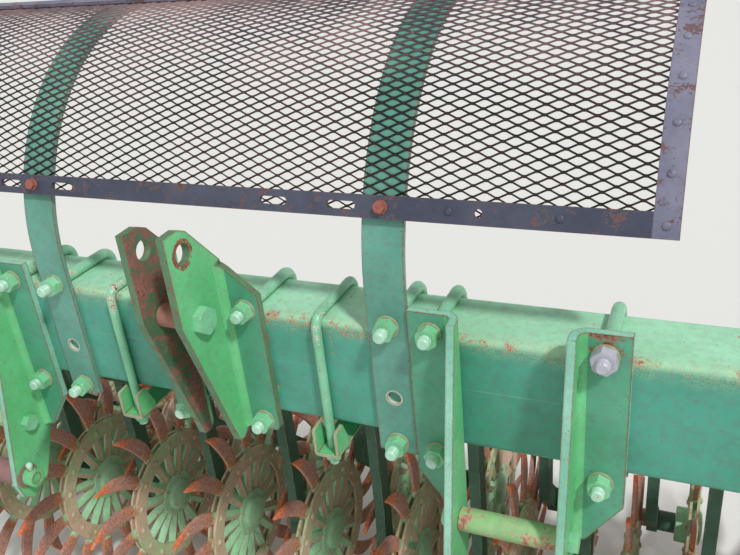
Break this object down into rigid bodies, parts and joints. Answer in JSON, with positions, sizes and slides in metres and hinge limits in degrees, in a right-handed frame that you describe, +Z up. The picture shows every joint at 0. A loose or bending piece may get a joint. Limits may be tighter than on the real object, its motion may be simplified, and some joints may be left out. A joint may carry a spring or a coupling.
{
  "type": "rotary hoe",
  "caption": "Three-point-hitch rotary hoe: toolbar with mast and clevises, curved mesh shield, two rows of toothed wheels on sprung arms, parking stands.",
  "frame": {"origin": "on the ground, under the middle of the machine's overall length and width", "axes": "+Z up, +X along the toolbar to the machine's left as it travels, +Y towards its rear; left and right in the names are as seen from in front, so left is -X"},
  "size_m": [1.839, 0.7706, 1.1992],
  "materials": {
    "toolbar_paint": "weathered satin green, rust along the edges",
    "bracket_paint": "satin green with rusty edges",
    "strap_paint": "faded satin green",
    "worn_paint": "worn green over rust",
    "bolt_paint": "pale green over-painted steel",
    "shield_bar_paint": "dark painted bar with rust",
    "mesh_rust": "dark rusted steel",
    "arm_paint": "dark dusty green",
    "spring_steel": "dark steel",
    "rusty_steel": "rusty bare steel",
    "stand_paint": "satin green",
    "wheel_paint": "worn green with rusty teeth"
  },
  "bodies": {
    "frame": {"toolbar": "toolbar_paint", "toolbar_end_caps": "toolbar_paint", "mast_plates": "bracket_paint", "mast_spacer": "rusty_steel", "left_clevis_plates": "bracket_paint", "right_clevis_plates": "bracket_paint", "clevis_spacers": "worn_paint", "lower_hitch_pins": "rusty_steel", "bracket_u_bolts": "bolt_paint", "hoop_u_bolts": "bolt_paint", "hoop_saddles": "bracket_paint", "shield_straps": "strap_paint", "shield_frame": "shield_bar_paint", "shield_mesh": "mesh_rust", "arm_carrier": "toolbar_paint", "pivot_shaft": "rusty_steel", "shaft_hangers": "arm_paint", "front_arms": "arm_paint", "rear_arms": "arm_paint", "arm_springs": "spring_steel", "stand_sockets": "bracket_paint"},
    "left_stand": {"left_stand": "stand_paint"},
    "right_stand": {"right_stand": "stand_paint"},
    "front_wheel_1": {"front_wheel_1": "wheel_paint"},
    "front_wheel_2": {"front_wheel_2": "wheel_paint"},
    "front_wheel_3": {"front_wheel_3": "wheel_paint"},
    "front_wheel_4": {"front_wheel_4": "wheel_paint"},
    "front_wheel_5": {"front_wheel_5": "wheel_paint"},
    "front_wheel_6": {"front_wheel_6": "wheel_paint"},
    "front_wheel_7": {"front_wheel_7": "wheel_paint"},
    "front_wheel_8": {"front_wheel_8": "wheel_paint"},
    "front_wheel_9": {"front_wheel_9": "wheel_paint"},
    "rear_wheel_1": {"rear_wheel_1": "wheel_paint"},
    "rear_wheel_2": {"rear_wheel_2": "wheel_paint"},
    "rear_wheel_3": {"rear_wheel_3": "wheel_paint"},
    "rear_wheel_4": {"rear_wheel_4": "wheel_paint"},
    "rear_wheel_5": {"rear_wheel_5": "wheel_paint"},
    "rear_wheel_6": {"rear_wheel_6": "wheel_paint"},
    "rear_wheel_7": {"rear_wheel_7": "wheel_paint"},
    "rear_wheel_8": {"rear_wheel_8": "wheel_paint"},
    "rear_wheel_9": {"rear_wheel_9": "wheel_paint"},
    "rear_wheel_10": {"rear_wheel_10": "wheel_paint"}
  },
  "joints": [
    {"name": "front_wheel_1_spin", "type": "hinge", "parent": "frame", "child": "front_wheel_1", "pos_m": [-0.7112, -0.05627, 0.23833], "axis": [1, 0, 0], "continuous": true},
    {"name": "front_wheel_2_spin", "type": "hinge", "parent": "frame", "child": "front_wheel_2", "pos_m": [-0.5334, -0.05627, 0.23833], "axis": [1, 0, 0], "continuous": true},
    {"name": "front_wheel_3_spin", "type": "hinge", "parent": "frame", "child": "front_wheel_3", "pos_m": [-0.3556, -0.05627, 0.23833], "axis": [1, 0, 0], "continuous": true},
    {"name": "front_wheel_4_spin", "type": "hinge", "parent": "frame", "child": "front_wheel_4", "pos_m": [-0.1778, -0.05627, 0.23833], "axis": [1, 0, 0], "continuous": true},
    {"name": "front_wheel_5_spin", "type": "hinge", "parent": "frame", "child": "front_wheel_5", "pos_m": [0, -0.05627, 0.23833], "axis": [1, 0, 0], "continuous": true},
    {"name": "front_wheel_6_spin", "type": "hinge", "parent": "frame", "child": "front_wheel_6", "pos_m": [0.1778, -0.05627, 0.23833], "axis": [1, 0, 0], "continuous": true},
    {"name": "front_wheel_7_spin", "type": "hinge", "parent": "frame", "child": "front_wheel_7", "pos_m": [0.3556, -0.05627, 0.23833], "axis": [1, 0, 0], "continuous": true},
    {"name": "front_wheel_8_spin", "type": "hinge", "parent": "frame", "child": "front_wheel_8", "pos_m": [0.5334, -0.05627, 0.23833], "axis": [1, 0, 0], "continuous": true},
    {"name": "front_wheel_9_spin", "type": "hinge", "parent": "frame", "child": "front_wheel_9", "pos_m": [0.7112, -0.05627, 0.23833], "axis": [1, 0, 0], "continuous": true},
    {"name": "rear_wheel_1_spin", "type": "hinge", "parent": "frame", "child": "rear_wheel_1", "pos_m": [-0.8001, 0.14694, 0.23833], "axis": [1, 0, 0], "continuous": true},
    {"name": "rear_wheel_2_spin", "type": "hinge", "parent": "frame", "child": "rear_wheel_2", "pos_m": [-0.6223, 0.14694, 0.23833], "axis": [1, 0, 0], "continuous": true},
    {"name": "rear_wheel_3_spin", "type": "hinge", "parent": "frame", "child": "rear_wheel_3", "pos_m": [-0.4445, 0.14694, 0.23833], "axis": [1, 0, 0], "continuous": true},
    {"name": "rear_wheel_4_spin", "type": "hinge", "parent": "frame", "child": "rear_wheel_4", "pos_m": [-0.2667, 0.14694, 0.23833], "axis": [1, 0, 0], "continuous": true},
    {"name": "rear_wheel_5_spin", "type": "hinge", "parent": "frame", "child": "rear_wheel_5", "pos_m": [-0.0889, 0.14694, 0.23833], "axis": [1, 0, 0], "continuous": true},
    {"name": "rear_wheel_6_spin", "type": "hinge", "parent": "frame", "child": "rear_wheel_6", "pos_m": [0.0889, 0.14694, 0.23833], "axis": [1, 0, 0], "continuous": true},
    {"name": "rear_wheel_7_spin", "type": "hinge", "parent": "frame", "child": "rear_wheel_7", "pos_m": [0.2667, 0.14694, 0.23833], "axis": [1, 0, 0], "continuous": true},
    {"name": "rear_wheel_8_spin", "type": "hinge", "parent": "frame", "child": "rear_wheel_8", "pos_m": [0.4445, 0.14694, 0.23833], "axis": [1, 0, 0], "continuous": true},
    {"name": "rear_wheel_9_spin", "type": "hinge", "parent": "frame", "child": "rear_wheel_9", "pos_m": [0.6223, 0.14694, 0.23833], "axis": [1, 0, 0], "continuous": true},
    {"name": "rear_wheel_10_spin", "type": "hinge", "parent": "frame", "child": "rear_wheel_10", "pos_m": [0.8001, 0.14694, 0.23833], "axis": [1, 0, 0], "continuous": true},
    {"name": "left_stand_slide", "type": "slide", "parent": "frame", "child": "left_stand", "axis": [0, 0, 1], "range_m": [0, 0.35]},
    {"name": "right_stand_slide", "type": "slide", "parent": "frame", "child": "right_stand", "axis": [0, 0, 1], "range_m": [0, 0.35]}
  ]
}
